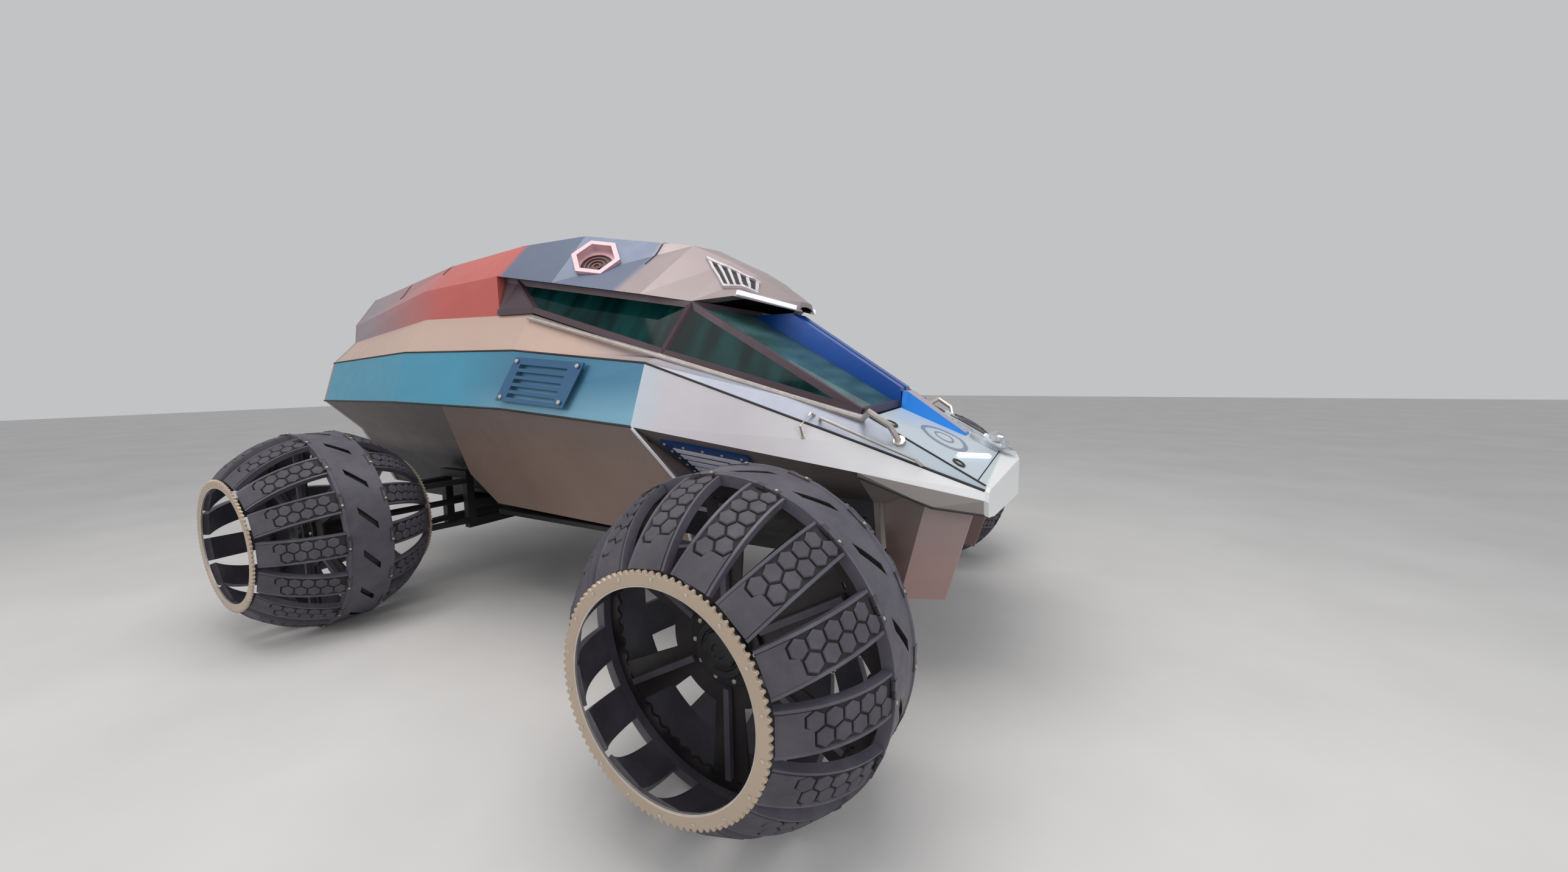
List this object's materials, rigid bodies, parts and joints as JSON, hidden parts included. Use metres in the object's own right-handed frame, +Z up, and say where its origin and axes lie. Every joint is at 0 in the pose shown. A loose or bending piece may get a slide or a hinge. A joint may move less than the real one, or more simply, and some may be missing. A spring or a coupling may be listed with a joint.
{
  "type": "planetary exploration rover",
  "caption": "Faceted crewed rover with a wedge nose, sloped glass cabin and open cage wheels with rubber-faced slats; wheels roll and steer, bonnet and tail door open.",
  "frame": {"origin": "on the floor, midway along the length and width", "axes": "+X forward, +Y to the vehicle's left, +Z up"},
  "size_m": [5.6, 4.284, 2.69],
  "materials": {
    "cage": "satin",
    "pads": "matte",
    "rims": "satin",
    "running_gear": "satin",
    "chassis": "matte",
    "liner": "matte",
    "front_paint": "satin",
    "rear_paint": "satin",
    "shoulder_paint": "satin",
    "lower_paint": "satin",
    "nose_paint": "satin",
    "roof_paint": "satin",
    "dark_trim": "satin",
    "lamp": "clear dome",
    "glass": "tinted",
    "metal": "satin",
    "seat": "matte"
  },
  "bodies": {
    "body": {"battery_pack": "chassis", "cabin_frame": "dark_trim", "chassis_frame": "chassis", "dash": "liner", "flank_front_left": "front_paint", "flank_front_right": "front_paint", "flank_rear_left": "rear_paint", "flank_rear_right": "rear_paint", "floor_pan": "chassis", "front_wells": "liner", "grilles": "dark_trim", "hand_rails": "metal", "inlets": "dark_trim", "light_bars": "dark_trim", "lower_flank_left": "lower_paint", "lower_flank_right": "lower_paint", "nose": "nose_paint", "rear_body": "roof_paint", "rear_wells": "liner", "roof": "roof_paint", "seats": "seat", "shoulder_left": "shoulder_paint", "shoulder_right": "shoulder_paint", "side_glass": "glass", "skirts": "dark_trim", "spine": "dark_trim", "suspension_front_left": "running_gear", "suspension_front_right": "running_gear", "suspension_rear_left": "running_gear", "suspension_rear_right": "running_gear", "windscreen": "glass"},
    "wheel_front_right": {"wheel_cage_front_right": "cage", "tread_pads_front_right": "pads", "wheel_plates_front_right": "rims"},
    "wheel_front_left": {"wheel_cage_front_left": "cage", "tread_pads_front_left": "pads", "wheel_plates_front_left": "rims"},
    "wheel_rear_right": {"wheel_cage_rear_right": "cage", "tread_pads_rear_right": "pads", "wheel_plates_rear_right": "rims"},
    "wheel_rear_left": {"wheel_cage_rear_left": "cage", "tread_pads_rear_left": "pads", "wheel_plates_rear_left": "rims"},
    "knuckle_front_right": {"hub_carrier_front_right": "running_gear"},
    "knuckle_front_left": {"hub_carrier_front_left": "running_gear"},
    "bonnet": {"bonnet": "nose_paint", "bonnet_spine": "dark_trim", "dome_lamp": "lamp"},
    "rear_door": {"rear_door": "rear_paint"}
  },
  "joints": [
    {"name": "steer_right", "type": "hinge", "parent": "body", "child": "knuckle_front_right", "pos_m": [1.95, -1.565, 0.65], "axis": [0, 0, 1], "range_deg": [-20, 20]},
    {"name": "steer_left", "type": "hinge", "parent": "body", "child": "knuckle_front_left", "pos_m": [1.95, 1.565, 0.65], "axis": [0, 0, 1], "range_deg": [-20, 20]},
    {"name": "spin_front_right", "type": "hinge", "parent": "knuckle_front_right", "child": "wheel_front_right", "pos_m": [1.95, -1.65, 0.65], "axis": [0, 1, 0], "continuous": true},
    {"name": "spin_front_left", "type": "hinge", "parent": "knuckle_front_left", "child": "wheel_front_left", "pos_m": [1.95, 1.65, 0.65], "axis": [0, 1, 0], "continuous": true},
    {"name": "spin_rear_right", "type": "hinge", "parent": "body", "child": "wheel_rear_right", "pos_m": [-1.45, -1.65, 0.65], "axis": [0, 1, 0], "continuous": true},
    {"name": "spin_rear_left", "type": "hinge", "parent": "body", "child": "wheel_rear_left", "pos_m": [-1.45, 1.65, 0.65], "axis": [0, 1, 0], "continuous": true},
    {"name": "bonnet_hinge", "type": "hinge", "parent": "body", "child": "bonnet", "pos_m": [2.13, 0.667, 1.442], "axis": [-0.8765, 0.0272, 0.4806], "range_deg": [0, 75]},
    {"name": "rear_door_hinge", "type": "hinge", "parent": "body", "child": "rear_door", "pos_m": [-2.78, -0.36, 1.32], "axis": [0, 0, 1], "range_deg": [0, 90]}
  ],
  "couplings": [
    {"joint": "steer_left", "follows": "steer_right", "ratio": 1}
  ]
}
